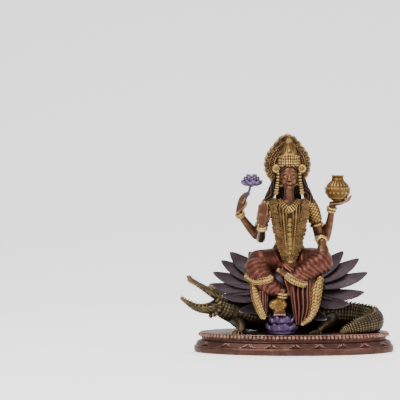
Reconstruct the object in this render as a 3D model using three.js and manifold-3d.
// A cast statuette with a bronze finish: a four-armed river goddess seated on an open lotus,
// which a crocodile carries on its back, on an oval plinth with a beaded rim.
// Millimetres, +Z up, the goddess faces -Y. The origin is the middle of the plinth's underside.
import * as THREE from 'three';
import { mergeVertices } from 'three/addons/utils/BufferGeometryUtils.js';
import Module from 'manifold-3d';

const wasm = await Module();
wasm.setup();

// Plinth: an oval with its steps measured inwards from the foot's edge.
const PLINTH_LENGTH = 200;
const PLINTH_DEPTH = 108;
const PLINTH_TOP = 20;
const PLINTH_PETALS = 20;
const FACETS_PER_PETAL = 3;

const SHORTEST_EDGES = [0.01, 0.1, 0.65]; // slivers are closed up in three rounds

// Places that the rest is measured from.
const GODDESS_X = -5; // the goddess sits a little left of the plinth's middle
const CROWN_TIP = 218;
const HEAD = [GODDESS_X, 0.5, 176];
const HALO = { x: GODDESS_X - 1.5, y: 8.5, z: 187, radius: 23, thick: 3.6, scallops: 24 };
const LOTUS = { x: GODDESS_X, y: 3, z: 68, length: 36, depth: 27, tall: 20 };
const POT = { x: 43.5, y: -1, foot: 150.6, tall: 26, belly: 12.7, mouth: 4.4, mouthDepth: 8 };
const FOOTREST = { x: -13, y: -32.5, radius: 15.5, tall: 20 };

const UP = [0, 0, 1];
const FRONT = [0, -1, 0];
const FACING = [0, -0.6, 0.8]; // the lotus petals lean their faces towards the front

const vector = ([x, y, z]) => new THREE.Vector3(x, y, z);

// Makes a solid of any closed three.js geometry, with its faces turned outwards.
function solid(geometry) {
  geometry.deleteAttribute('normal');
  geometry.deleteAttribute('uv');
  const merged = mergeVertices(geometry);
  const triVerts = new Uint32Array(merged.index.array);
  const made = () =>
    new wasm.Manifold(
      new wasm.Mesh({ numProp: 3, vertProperties: merged.attributes.position.array, triVerts }));
  if (made().volume() > 0) return made();
  for (let i = 0; i < triVerts.length; i += 3) {
    [triVerts[i + 1], triVerts[i + 2]] = [triVerts[i + 2], triVerts[i + 1]];
  }
  return made();
}

const joined = (solids) => wasm.Manifold.union(solids.flat(Infinity));

// A closed form swept along a smooth curve, for limbs, fingers, folds and petals.
// A station is [x, y, z, half width, half height]. Half height points along up.
// cup lifts the two side edges, and swell(share, angle) scales the section to carve folds in it.
function sweep(stations, { sides = 8, rows = 8, up = UP, cup = 0, swell = () => 1 } = {}) {
  const centres = new THREE.CatmullRomCurve3(stations.map(([x, y, z]) => vector([x, y, z])));
  const sizes = new THREE.CatmullRomCurve3(
    stations.map(([, , , wide, tall = wide]) => new THREE.Vector3(wide, tall, 0)));
  const shape = new THREE.SphereGeometry(1, sides, rows);
  const points = shape.attributes.position;
  for (let i = 0; i < points.count; i++) {
    const row = Math.floor(i / (sides + 1));
    const column = (i % (sides + 1)) % sides;
    const turn = (2 * Math.PI * column) / sides;
    const share = THREE.MathUtils.clamp((row - 1) / (rows - 2), 0, 1);
    const centre = centres.getPoint(share);
    const along = centres.getTangent(share);
    const { x: wide, y: tall } = sizes.getPoint(share);
    const side = along.clone().cross(vector(up)).normalize();
    const lift = side.clone().cross(along).normalize();
    if (row === 0) centre.addScaledVector(along, -0.45 * Math.min(wide, tall));
    if (row === rows) centre.addScaledVector(along, 0.45 * Math.min(wide, tall));
    if (row > 0 && row < rows) {
      const size = swell(share, turn);
      centre.addScaledVector(side, wide * size * Math.cos(turn));
      centre.addScaledVector(lift, tall * size * Math.sin(turn) + cup * wide * Math.cos(turn) ** 2);
    }
    points.setXYZ(i, centre.x, centre.y, centre.z);
  }
  return solid(shape);
}

// A ball squashed to three half sizes.
function ball([x, y, z], [rx, ry, rz], sides = 8, rows = 6) {
  return solid(new THREE.SphereGeometry(1, sides, rows).rotateX(Math.PI / 2)
    .scale(rx, ry, rz).translate(x, y, z));
}

// A turned form with its axis upright. The profile's points are [radius, height].
function turned(profile, facets, [x, y, z]) {
  const points = profile.map(([radius, height]) => new THREE.Vector2(radius, height));
  return solid(new THREE.LatheGeometry(points, facets).rotateX(Math.PI / 2).translate(x, y, z));
}

// A cone that stands on base and points along a direction, for teeth, claws and scutes.
function spike(base, direction, radius, tall, sides = 3) {
  const cone = new THREE.ConeGeometry(radius, tall, sides).translate(0, tall / 2, 0);
  const turn = new THREE.Quaternion().setFromUnitVectors(
    new THREE.Vector3(0, 1, 0), vector(direction).normalize());
  return solid(cone.applyQuaternion(turn).translate(...base));
}

// The same form on the other side of the goddess's middle plane.
const mirrored = (stations) => stations.map(([x, ...rest]) => [2 * GODDESS_X - x, ...rest]);

// The oval plinth: a rounded foot, a band of lotus petals, a hollow neck and a rim.
function plinth() {
  const profile = [
    [0, 0], [99, 0], [100, 3], [99.2, 6.8], [98, 8], [95.2, 11.6], [92.6, 13], [92.8, 15.2],
    [95.6, 16], [95.8, 19.2], [94.4, PLINTH_TOP], [0, PLINTH_TOP],
  ];
  const petalBand = [7.1, 11.8];
  const facets = PLINTH_PETALS * FACETS_PER_PETAL;
  const points = profile.map(([radius, height]) => new THREE.Vector2(radius, height));
  const shape = new THREE.LatheGeometry(points, facets).rotateX(Math.PI / 2);
  const place = shape.attributes.position;
  const narrowing = (PLINTH_LENGTH - PLINTH_DEPTH) / 2;
  for (let i = 0; i < place.count; i++) {
    const [x, y, z] = [place.getX(i), place.getY(i), place.getZ(i)];
    const radius = Math.hypot(x, y);
    if (radius < narrowing) continue;
    const turn = Math.atan2(y, x);
    const onBand = z > petalBand[0] && z < petalBand[1];
    const petal = Math.abs(Math.sin((turn * PLINTH_PETALS) / 2 + 1e-6));
    const bulge = onBand ? 1.1 * Math.sqrt(petal) - 0.6 : 0;
    place.setX(i, Math.cos(turn) * (radius + bulge));
    place.setY(i, Math.sin(turn) * (radius - narrowing + bulge));
  }
  return solid(shape);
}

// Body of the crocodile, from its neck to the tip of its tail, which curls round to the front.
const CROCODILE = [
  [-77, -9, 48, 9, 10], [-64, -6, 42.5, 14, 12.5], [-46, 3, 37.5, 19, 15.5], [-20, 10, 36, 22, 17],
  [6, 13, 36, 22, 17], [32, 15, 34.5, 17.5, 15], [52, 16, 34, 13.5, 14.2], [68, 13, 33, 11.5, 12.8],
  [79, 4.5, 32, 9.6, 12], [81, -8, 30.5, 8.4, 10.6], [74, -19, 28.8, 7.4, 9.2],
  [62, -27, 26.6, 5.8, 7.4], [51, -30.5, 23.6, 3.2, 4], [45, -31.5, 21.4, 1.2, 1.4],
];
const UPPER_JAW = [
  [-73, -8, 55, 8.5, 6], [-83, -9.5, 60, 7.4, 4.2], [-93, -10.5, 66, 5, 2.8],
  [-101, -11.2, 71, 3.8, 2.4], [-105, -11.5, 73.5, 4, 2.8],
];
const LOWER_JAW = [
  [-74, -8, 46, 9.5, 9], [-86, -9, 43.6, 8, 5.6], [-97, -10, 44.6, 6, 4], [-107, -11, 50, 4, 2.4],
  [-113.5, -11.5, 54.6, 1.8, 1.3],
];

// A row of teeth along one edge of a jaw, pointing into the mouth.
function teeth(jaw, direction, edge, count) {
  const centres = new THREE.CatmullRomCurve3(jaw.map((station) => vector(station)));
  const sizes = new THREE.CatmullRomCurve3(jaw.map(([, , , w, h]) => new THREE.Vector3(w, h, 0)));
  return Array.from({ length: count }, (_, i) => {
    const share = 0.3 + (0.64 * i) / (count - 1);
    const { x: wide, y: tall } = sizes.getPoint(share);
    const root = centres.getPoint(share);
    root.y += edge * wide * 0.72;
    root.z += direction * tall * 0.45;
    return spike(root.toArray(), [0, edge * 0.25, direction], 0.9, tall * 0.55 + 1.9);
  });
}

// A crocodile's leg that ends in spread claws.
function leg(stations, outwards, clawCount = 3) {
  const [x, y] = stations.at(-1);
  const claws = [-1, 0, 1].slice(0, clawCount).map((spread) => sweep([
    [x, y, PLINTH_TOP + 2.4, 1.5], [x - 2.5 + spread * 2.2, y + outwards * 4, PLINTH_TOP + 1.8, 1.2],
    [x - 3.5 + spread * 3.6, y + outwards * 7.5, PLINTH_TOP + 0.5, 0.5],
  ], { sides: 3, rows: 4 }));
  return [sweep(stations, { sides: 5, rows: 5 }), claws];
}

// The raised scutes: two lines of vertices along the back stand out at every other section.
const CREST_SECTIONS = 28;
const crest = (share, turn) => {
  const raised = share > 0.3 && Math.sin(turn) > 0.9 && Math.round(share * CREST_SECTIONS) % 2;
  return raised ? 1.17 : 1;
};

function crocodile() {
  const frontNear = [[-58, -9, 33, 7.5], [-54, -20, 29, 6], [-53, -26, 25, 4.4], [-54, -29, 22.5, 3.4]];
  const rearNear = [[38, 4, 32, 8], [34, -12, 30, 6.4], [27, -22, 26, 4.4], [24, -27, 22.5, 3]];
  const frontFar = [[-48, 12, 33, 6], [-46, 24, 29, 4.6], [-48, 31, 25, 3.2], [-49, 34, 22.5, 2.8]];
  const rearFar = [[38, 24, 31, 7], [34, 33, 28, 5], [28, 37, 24, 3.4], [26, 38, 22.5, 2.8]];
  return [
    sweep(CROCODILE, { sides: 10, rows: CREST_SECTIONS + 2, swell: crest }),
    sweep(UPPER_JAW, { sides: 6, rows: 7 }),
    sweep(LOWER_JAW, { sides: 6, rows: 7 }),
    ball([-82.5, -13.5, 62.5], [3, 2.4, 3], 6, 4),
    ball([-82.5, -5.5, 63.5], [3, 2.4, 3], 6, 4),
    sweep([[-77, -17.5, 53, 2], [-73.5, -19, 47, 2.6], [-77, -17, 40, 2.6], [-84, -12, 36, 1.8]],
      { sides: 4, rows: 5 }),
    [-1, 1].map((edge) => [teeth(UPPER_JAW, -1, edge, 3), teeth(LOWER_JAW, 1, edge, 4)]),
    leg(frontNear, -1), leg(rearNear, -1), leg(frontFar, 1, 1), leg(rearFar, 1, 1),
  ];
}

// One lotus petal from the flower's heart to its tip. It sags a little and lifts at the tip.
function petal(tip, halfWidth, { sag = 7, root = [LOTUS.x, LOTUS.y, LOTUS.z], up = FACING } = {}) {
  const at = (share, drop) => [0, 1, 2].map(
    (axis) => root[axis] + (tip[axis] - root[axis]) * share - (axis === 2 ? drop : 0));
  return sweep([
    [...at(0.25, sag * 0.6), halfWidth * 0.8, 1.5], [...at(0.58, sag), halfWidth * 1.12, 1.5],
    [...at(0.84, sag * 0.6), halfWidth * 0.86, 1.3], [...at(0.99, 0), 1.6, 0.8],
  ], { sides: 4, rows: 6, up, cup: 0.22 });
}

// The big lotus: its petals rise behind the goddess and droop in front of her.
// Each tip is [x, y, z, half width of the petal].
function lotus() {
  const tips = [
    [50.5, 30, 98, 8], [66, 23, 91, 8], [74, 9, 78, 8], [70, -8, 59.5, 7.5], [54, -22, 49, 8],
    [31, -37, 34.5, 6], [56, 24, 72, 7], [48, 36, 80, 7],
    [-63.5, 28, 97.5, 9], [-72.5, 19, 89.5, 8], [-81, 6, 78.5, 8], [-84.5, -8, 67.5, 7.5],
    [-72, -20, 57, 7.5], [-55, -35, 42.5, 6.5], [-62, 22, 72, 7],
    [-44, 41, 97, 9], [-25, 46, 99, 9], [-5, 47.5, 100, 9], [16, 46, 99, 9], [35, 41, 98, 9],
    [-5, 52, 74, 10],
  ];
  const heart = ball([LOTUS.x, LOTUS.y, LOTUS.z], [LOTUS.length, LOTUS.depth, LOTUS.tall], 10, 6);
  return [heart, tips.map(([x, y, z, halfWidth]) => petal([x, y, z], halfWidth))];
}

// The small lotus that the goddess's foot rests on: two rings of short upright petals.
function footrest() {
  const { x, y, radius, tall } = FOOTREST;
  const ring = (count, reach, height, start) => Array.from({ length: count }, (_, i) => {
    const turn = (2 * Math.PI * (i + start)) / count;
    const [outX, outY] = [Math.cos(turn), Math.sin(turn)];
    const at = (share, z) => [x + outX * radius * share, y + outY * radius * share, z];
    return sweep([
      [...at(reach * 0.5, height - tall * 0.42), 3.2, 2], [...at(reach, height - tall * 0.2), 3.8, 1.6],
      [...at(reach * 1.02, height), 0.8, 0.6],
    ], { sides: 4, rows: 4, up: [outX, outY, 0.3] });
  });
  const cushion = turned([[0, 0], [12, 0], [13.5, 4], [12, 12], [9, 18.5], [0, 18.5]], 9,
    [x, y, PLINTH_TOP]);
  return [cushion, ring(8, 0.96, PLINTH_TOP + 11, 0), ring(6, 0.74, PLINTH_TOP + tall, 0.5)];
}

// Folds that wind round a covered limb.
const folds = (count, depth, slant) => (share, turn) =>
  1 + depth * Math.cos(2 * Math.PI * count * share + slant * turn);

// Torso, shoulders, neck and head.
function torso() {
  const [x, y, z] = HEAD;
  const face = [
    sweep([[x, y - 8.4, z + 1.5, 1, 1.3], [x, y - 9.8, z - 4.2, 1.8, 2.4]], { sides: 4, rows: 4, up: FRONT }),
    ball([x, y - 8.6, z - 7.2], [2.6, 1.8, 1], 5, 4),
    ball([x, y - 7.2, z - 10.6], [2.6, 2, 2], 5, 4),
    [-1, 1].map((edge) => ball([x + edge * 3.4, y - 8.4, z - 0.6], [2, 1.3, 1.1], 5, 4)),
  ];
  return [
    sweep([[x, 8, 80, 20, 14], [x, 8, 96, 20, 14], [x, 8, 112, 12.5, 9.5], [x, 6, 128, 15.5, 10.5],
      [x, 5, 142, 19, 10], [x, 5, 150, 10, 6.5]], { sides: 10, rows: 8, up: FRONT }),
    sweep([[x, 5, 147, 6.4, 6], [x, 3.5, 157, 4.9, 4.9], [x, 3, 166, 5.2, 5.2]], { sides: 6, rows: 4, up: FRONT }),
    sweep([[x, y - 1, z - 11.5, 4.2, 5.6], [x, y - 0.5, z - 7, 7, 8.2], [x, y, z, 8.9, 9.6],
      [x, y + 0.6, z + 7, 8.6, 9.4], [x, y + 1, z + 12, 6, 7]], { sides: 10, rows: 7, up: FRONT }),
    face,
  ];
}

// Hair: locks on the shoulders and a fall of locks down the back.
function hair() {
  const shoulderLock = [[7, 6, 178, 3], [9.5, 6, 166, 4], [14, 4.5, 156, 4], [18, 1, 149, 3]];
  const grooves = (share, turn) => 1 + 0.14 * Math.cos(turn * 6) * Math.abs(Math.sin(turn));
  const back = sweep([[HEAD[0], 9, 180, 8, 4], [HEAD[0], 13, 160, 12, 4.4], [HEAD[0], 16, 138, 12.6, 4],
    [HEAD[0], 18, 116, 6, 3]], { sides: 12, rows: 6, up: FRONT, swell: grooves });
  const locks = [shoulderLock, mirrored(shoulderLock)];
  return [back, locks.map((lock) => sweep(lock, { sides: 4, rows: 5, up: FRONT }))];
}

// The halo behind the head: a scalloped disc that rises to a point, with a raised inner ring.
function halo() {
  const { x, y, z, radius, thick, scallops } = HALO;
  const reach = (turn) => {
    const peak = (CROWN_TIP - z - radius) * Math.max(0, Math.sin(turn)) ** 9;
    return radius + peak + 0.9 * Math.abs(Math.cos((turn * scallops) / 2));
  };
  const steps = scallops * 2;
  const outline = Array.from({ length: steps }, (_, i) => {
    const turn = (2 * Math.PI * i) / steps;
    return new THREE.Vector2(reach(turn) * Math.cos(turn), reach(turn) * Math.sin(turn));
  });
  const tip = Math.max(...outline.map((point) => point.y));
  outline.forEach((point) => { if (point.y > radius) point.y *= (CROWN_TIP - z) / tip; });
  const plate = new THREE.ExtrudeGeometry(new THREE.Shape(outline), { depth: thick, bevelEnabled: false })
    .rotateX(Math.PI / 2).translate(x, y, z);
  const ring = new THREE.TorusGeometry(radius * 0.76, 0.9, 3, 16).rotateX(Math.PI / 2)
    .translate(x, y - thick, z - 1);
  return [solid(plate), solid(ring)];
}

// The crown: a tall dome with leaf-shaped panels, ear rosettes and two hanging tassels.
function crown() {
  const [x, y, z] = HEAD;
  const dome = turned([[0, 0], [9.2, 0], [9.9, 3], [9, 10], [6.6, 17], [3.4, 23], [0, 32]], 8,
    [x, y + 0.5, z + 10]);
  const panels = [-60, -30, 0, 30, 60].map((degrees) => {
    const turn = THREE.MathUtils.degToRad(degrees);
    const [outX, outY] = [Math.sin(turn), -Math.cos(turn)];
    const at = (out, height) => [x + outX * out, y + 0.5 + outY * out, z + height];
    const tall = 26 - Math.abs(degrees) / 8;
    return sweep([[...at(9.6, 9.5), 2.6, 1], [...at(9.9, 15), 3, 1.3], [...at(7.2, tall), 0.6, 0.5]],
      { sides: 4, rows: 3, up: [outX, outY, 0] });
  });
  const sideOrnament = (edge) => [
    ball([x + edge * 12.8, y, z + 7], [5, 2.2, 4.4], 6, 4),
    sweep([[x + edge * 9.8, y, z + 6, 1.9], [x + edge * 11.2, y - 1, z - 6, 1.9], [x + edge * 12.6, y - 2.4, z - 15, 2]],
      { sides: 4, rows: 4, up: FRONT }),
    ball([x + edge * 12.8, y - 2.8, z - 17], [2.9, 1.8, 2.9], 5, 4),
  ];
  return [dome, panels, sideOrnament(-1), sideOrnament(1),
    ball([x - 0.4, y + 3.4, 208.6], [3, 2.6, 3.4], 6, 4)];
}

// Necklaces: a broad collar, a long flower garland in two halves and a central chain.
function jewellery() {
  const x = GODDESS_X;
  const collar = sweep([[x - 9.5, 3, 151, 2.4, 1.6], [x - 6, -4, 146.5, 3, 1.8], [x, -7.4, 142, 3.6, 2],
    [x + 6, -4, 146.5, 3, 1.8], [x + 9.5, 3, 151, 2.4, 1.6]], { sides: 5, rows: 6, up: FRONT });
  const outerGarland = [[x + 15, 5, 151, 4], [x + 16, -3.5, 143, 4.3], [x + 13.5, -8.5, 127, 4.4],
    [x + 8.5, -11, 106, 4.2], [x + 2, -14.5, 92, 4.2]];
  const beads = (count) => (share) => 1 + 0.1 * Math.cos(2 * Math.PI * count * share);
  const chains = [outerGarland, mirrored(outerGarland)].map(
    (chain) => sweep(chain, { sides: 5, rows: 9, up: FRONT, swell: beads(3.5) }));
  const pendant = sweep([[x + 0.5, -9.5, 132, 1.6], [x + 0.5, -11, 116, 2.4, 1.8], [x + 1, -13.5, 100, 2.6, 2],
    [x + 1, -17.5, 90, 3.4, 2.4]], { sides: 5, rows: 6, up: FRONT });
  return [collar, chains, pendant];
}

// A hand: a palm and four fingers, bent at the knuckles towards the palm's face, and a thumb.
// along points to the fingertips, across to the thumb's side, bends are in degrees for each joint.
function hand(wrist, along, across, { bend = 8, firstBend = bend, thumbOut = 1, size = 1 } = {}) {
  const ahead = vector(along).normalize();
  const face = ahead.clone().cross(vector(across)).normalize();
  const sideways = face.clone().cross(ahead).normalize();
  const at = (start, forward, side, front = 0) => vector(start)
    .addScaledVector(ahead, forward * size).addScaledVector(sideways, side * size)
    .addScaledVector(face, front * size);
  const palm = sweep([
    [...at(wrist, -2, 0), 3.3 * size, 2.8 * size], [...at(wrist, 4, 0), 4.6 * size, 2.6 * size],
    [...at(wrist, 10, -0.4), 5.4 * size, 2 * size]], { sides: 6, rows: 4, up: face.toArray() });
  const finger = (side, length) => {
    let place = at(wrist, 9.5, side);
    const pointing = ahead.clone();
    const stations = [[...place, 1.25 * size]];
    [firstBend, bend, bend].forEach((degrees, joint) => {
      pointing.applyAxisAngle(sideways, THREE.MathUtils.degToRad(-degrees));
      place = place.clone().addScaledVector(pointing, (length * size * (0.44 - joint * 0.09)) / 1.05);
      stations.push([...place, (1.2 - joint * 0.15) * size]);
    });
    return sweep(stations, { sides: 4, rows: bend > 5 ? 4 : 3, up: face.toArray() });
  };
  const fingers = [[4, 12.2], [1.35, 13.6], [-1.35, 12.8], [-4, 10.4]].map(([side, long]) => finger(side, long));
  const thumb = sweep([[...at(wrist, 2.5, 3.4, 0.8), 2 * size], [...at(wrist, 8, 6 + thumbOut, 1.8), 1.6 * size],
    [...at(wrist, 12.5, 6.2 + thumbOut, 2.2), size]], { sides: 4, rows: 3, up: face.toArray() });
  return [palm, fingers, thumb];
}

// A ring round a limb: bracelets, armlets and anklets.
function band([x, y, z], axis, radius, thick = 1.2) {
  const turn = new THREE.Quaternion().setFromUnitVectors(new THREE.Vector3(0, 0, 1), vector(axis).normalize());
  return solid(new THREE.CylinderGeometry(radius + thick, radius + thick, 3 * thick, 7)
    .rotateX(Math.PI / 2).applyQuaternion(turn).translate(x, y, z));
}

// Four arms. The front right hand blesses, the back right one holds a lotus, the back left one
// carries a pot, and the front left one rests on the knee.
function arms() {
  const upper = { sides: 6, rows: 4, up: FRONT };
  const fore = { sides: 6, rows: 4, up: [1, 0, 0.2] };
  return [
    sweep([[-26.5, 5, 146.5, 6.6], [-31, 7, 134, 5.7], [-33, 12, 118, 4.8], [-33, 13, 112, 4.4]], upper),
    sweep([[-33, 14, 112, 4.6], [-32.5, 2, 116, 4.4], [-32, -11, 122.5, 3.3], [-31.8, -13, 126, 3]], fore),
    hand([-31.8, -13.4, 128], [0.03, 0.02, 1], [1, 0, 0], { bend: 1 }),
    band([-32, -12.4, 123.6], [0, -0.5, 0.87], 4.4, 1.7),
    sweep([[-22, 9, 147, 5.6], [-30, 13, 132, 5], [-36, 15, 117, 4.5], [-37, 15, 113.6, 4.2]], upper),
    sweep([[-37, 15, 114.6, 4.4], [-42, 13, 121, 4.5], [-50, 8, 131.5, 3.6], [-55, 4, 139, 2.9]], fore),
    hand([-55.2, 3.6, 140.6], [0.24, -0.16, 1], [0.5, -0.86, 0], { bend: 14, firstBend: 18 }),
    band([-54, 4.8, 137.6], [-0.45, -0.4, 0.8], 4, 1.5),
    sweep([[16.5, 5, 146.5, 6.6], [21, 6, 134, 5.9], [24.5, 10, 119, 4.9], [25.5, 11, 112.5, 4.6]], upper),
    sweep([[25.5, 12.5, 112.5, 4.6], [26.4, 1, 113, 4.4], [27.2, -10, 112, 3.5], [27.6, -14, 110.6, 3.2]], fore),
    hand([27.8, -16, 109.4], [0.12, -0.62, -0.78], [-1, 0, 0], { bend: 9, thumbOut: -1 }),
    band([27.4, -12.6, 111.4], [0.05, -0.85, -0.4], 4.4, 1.7),
    sweep([[12, 9, 147, 5.6], [21, 13, 131, 5.2], [30, 15, 115, 4.6], [32, 15, 110.6, 4.3]], upper),
    sweep([[32, 15, 111.6, 4.5], [34, 13, 120, 4.7], [36.6, 8, 132, 3.7], [38.6, 3.6, 147, 3]], fore),
    hand([38.4, 3.4, 147.6], [0.94, -0.32, 0.12], [0.3, 0.94, 0], { bend: 26, firstBend: 10 }),
    band([38, 4.8, 143.4], [0.12, -0.3, 0.94], 4.3, 1.6),
  ];
}

// The full-bellied pot, cast with a hollow mouth.
function pot() {
  const { x, y, foot, tall, belly, mouth, mouthDepth } = POT;
  return turned([
    [0, 0], [belly * 0.36, 0], [belly * 0.74, tall * 0.12], [belly * 0.98, tall * 0.32],
    [belly, tall * 0.45], [belly * 0.86, tall * 0.62], [belly * 0.5, tall * 0.8], [belly * 0.44, tall * 0.91],
    [belly * 0.54, tall], [mouth, tall], [mouth, tall - mouthDepth], [0, tall - mouthDepth],
  ], 12, [x, y, foot]);
}

// The lotus flower in the back right hand, on its stem.
function heldLotus() {
  const heart = [-42.6, -4, 168];
  const ring = (count, reach, lift, start) => Array.from({ length: count }, (_, i) => {
    const turn = (2 * Math.PI * (i + start)) / count;
    const at = (share, z) => [heart[0] + Math.cos(turn) * reach * share, heart[1] + Math.sin(turn) * reach * share,
      heart[2] + z];
    return sweep([[...at(0.25, -1.4), 1.8, 0.9], [...at(0.75, lift * 0.3), 2.7, 0.9], [...at(1, lift), 0.5, 0.4]],
      { sides: 4, rows: 4, up: UP });
  });
  return [ball(heart, [4, 4, 3.4], 6, 4), ring(7, 10, 2.6, 0), ring(4, 7, 8, 0.5),
    sweep([[-43.4, -3.6, 166, 1.3], [-46, -3, 158, 1.2], [-51, 0.6, 147, 1.2]], { sides: 4, rows: 4 })];
}

// Legs under their folded cloth, the feet, and the cloth that hangs between and beside them.
function legs() {
  const thigh = { sides: 9, rows: 7 };
  return [
    sweep([[-12, 6, 88, 14, 14], [-24, -6, 90.4, 13.6, 12.8], [-37.6, -18.5, 90.5, 12.6, 12]],
      { ...thigh, swell: folds(4, 0.035, 2) }),
    sweep([[-38.5, -20, 88.5, 12, 11.6], [-34.5, -26, 78, 11.6, 11], [-26, -30.5, 69, 10, 9.5],
      [-17, -33, 62.5, 7, 7]], { ...thigh, swell: folds(4, 0.04, 1), up: FRONT }),
    sweep([[2, 6, 88, 14, 14], [16, -6, 91.4, 13.4, 12.8], [29, -17, 92.5, 12, 11.6]],
      { ...thigh, swell: folds(4, 0.035, 2) }),
    sweep([[30, -19, 92, 11.6, 11.6], [16, -27, 84.5, 10.4, 10], [4, -32, 77, 9, 8.4],
      [-5, -33.5, 73, 7.6, 7]], { ...thigh, swell: folds(6, 0.05, 1) }),
    ball([GODDESS_X, -11, 86], [15, 15, 10], 8, 5),
    sweep([[-13, -33, 64, 4.2], [-13.6, -34, 54, 4.4, 5.4], [-15.6, -38, 47, 6, 4.6], [-15.6, -42, 42.4, 6, 2.6]],
      { sides: 6, rows: 5, up: FRONT }),
    ball([-17, -39, 49.6], [9, 5.4, 6.6], 8, 5),
    [-2, -1, 0, 1, 2].map((toe) => sweep([[-15.4 + toe * 2.2, -42, 42.6, 1.4], [-15.4 + toe * 2.5, -45.2, 39.8, 1.2]],
      { sides: 3, rows: 3, up: FRONT })),
    sweep([[0, -31, 74, 4.6, 4], [-9, -34.5, 79, 4.6, 3.6], [-17.5, -35.5, 84, 3.6, 2.6]], { sides: 6, rows: 5 }),
    band([-12.6, -33, 60.5], [0.1, -0.2, 1], 4.8, 1.5),
  ];
}

function hangingCloth() {
  const pleats = (share, turn) => 1 + 0.26 * Math.cos(turn * 7) * Math.abs(Math.sin(turn));
  return [
    sweep([[6, -30, 76, 10, 3.4], [5.5, -33, 62, 10.6, 3.6], [6.5, -36, 46, 9.4, 3.4], [5, -38.5, 30, 4.6, 2.2]],
      { sides: 12, rows: 5, up: FRONT, swell: pleats }),
    sweep([[25, -27, 76, 3.6, 1.8], [21.6, -33, 63, 5, 1.8], [19.4, -37, 49, 4.4, 1.8], [15, -40, 37, 2.6, 1.6],
      [7, -41.5, 30.6, 1.8, 1.4]], { sides: 4, rows: 7, up: FRONT }),
    sweep([[-41, -25, 72, 3, 2.2], [-38.6, -30, 58, 4.4, 2.6], [-34.6, -35, 46, 4.4, 2.4], [-30.4, -38, 36.6, 3, 1.6]],
      { sides: 4, rows: 6, up: FRONT }),
    sweep([[-31, -31, 62, 4.6, 2.4], [-31, -33, 52, 4, 2.2], [-29.6, -35, 42, 2.4, 1.6]], { sides: 4, rows: 4, up: FRONT }),
    sweep([[-48.5, -23, 77, 2, 3.4], [-40, -33, 72.4, 2.4, 3.2], [-28, -39.5, 74, 2.4, 3], [-23, -39, 77, 1.6, 2.4]],
      { sides: 4, rows: 5 }),
    sweep([[-9, -42, 79, 2, 3], [-2, -42.4, 74, 2.4, 3.4], [7, -39, 70, 2.4, 3.2], [11, -34, 70, 1.4, 2.4]],
      { sides: 4, rows: 5 }),
  ];
}

// Everything that stands on the plinth is one casting, cut off flat where it meets it.
function figureGroup() {
  const casting = joined([
    crocodile(), lotus(), footrest(), torso(), hair(), halo(), crown(), jewellery(), arms(), pot(), heldLotus(),
    legs(), hangingCloth(),
  ]);
  const below = solid(new THREE.BoxGeometry(400, 400, PLINTH_TOP).translate(0, 0, PLINTH_TOP / 2));
  return casting.subtract(below);
}

// Joining leaves slivers where solids meet, so each edge shorter than the limit is closed up,
// wherever that keeps the surface closed and turns no face over.
function closeShortEdges(positions, corners, shortest) {
  const at = (vertex) => new THREE.Vector3().fromArray(positions, 3 * vertex);
  const normal = ([a, b, c]) => at(b).sub(at(a)).cross(at(c).sub(at(a)));
  let faces = [];
  for (let i = 0; i < corners.length; i += 3) faces.push([...corners.slice(i, i + 3)]);
  let closed = 1;
  while (closed > 0) {
    closed = 0;
    const around = new Map();
    for (const face of faces) {
      for (const vertex of face) around.set(vertex, [...(around.get(vertex) ?? []), face]);
    }
    const settled = new Set();
    for (const face of faces) {
      for (let corner = 0; corner < face.length; corner++) {
        const [keep, drop] = [face[corner], face[(corner + 1) % 3]];
        if (settled.has(keep) || settled.has(drop) || at(keep).distanceTo(at(drop)) > shortest) continue;
        const near = (vertex) => new Set(around.get(vertex).flat());
        const [nearKeep, nearDrop] = [near(keep), near(drop)];
        const shared = [...nearKeep].filter((vertex) => nearDrop.has(vertex));
        if (shared.length !== 4) continue;
        const moved = around.get(drop).filter((each) => !each.includes(keep));
        const turnsOver = (each) => {
          const after = normal(each.map((vertex) => (vertex === drop ? keep : vertex)));
          return after.length() < 1e-5 || normal(each).dot(after) < 0;
        };
        if (moved.some(turnsOver)) continue;
        for (const each of around.get(drop)) {
          if (each.includes(keep)) each.length = 0;
          else each[each.indexOf(drop)] = keep;
        }
        for (const vertex of [...nearKeep, ...nearDrop]) settled.add(vertex);
        closed += 1;
        break;
      }
    }
    faces = faces.filter((each) => each.length === 3);
  }
  return faces.flat();
}

function namedMesh(name, casting, material) {
  const { vertProperties, triVerts } = casting.getMesh();
  const geometry = new THREE.BufferGeometry();
  geometry.setAttribute('position', new THREE.BufferAttribute(vertProperties, 3));
  const tidy = SHORTEST_EDGES.reduce(
    (corners, shortest) => closeShortEdges(vertProperties, corners, shortest), triVerts);
  geometry.setIndex(tidy);
  geometry.computeVertexNormals();
  const mesh = new THREE.Mesh(geometry, material);
  mesh.name = name;
  return mesh;
}

const bronze = new THREE.MeshStandardMaterial({ color: 0x6b4a36, roughness: 0.45, metalness: 0.75 });
const darkBronze = new THREE.MeshStandardMaterial({ color: 0x54392b, roughness: 0.5, metalness: 0.7 });

const statuette = new THREE.Group();
statuette.add(
  namedMesh('plinth', plinth(), darkBronze),
  namedMesh('goddess_on_crocodile', figureGroup(), bronze),
);
export default statuette;
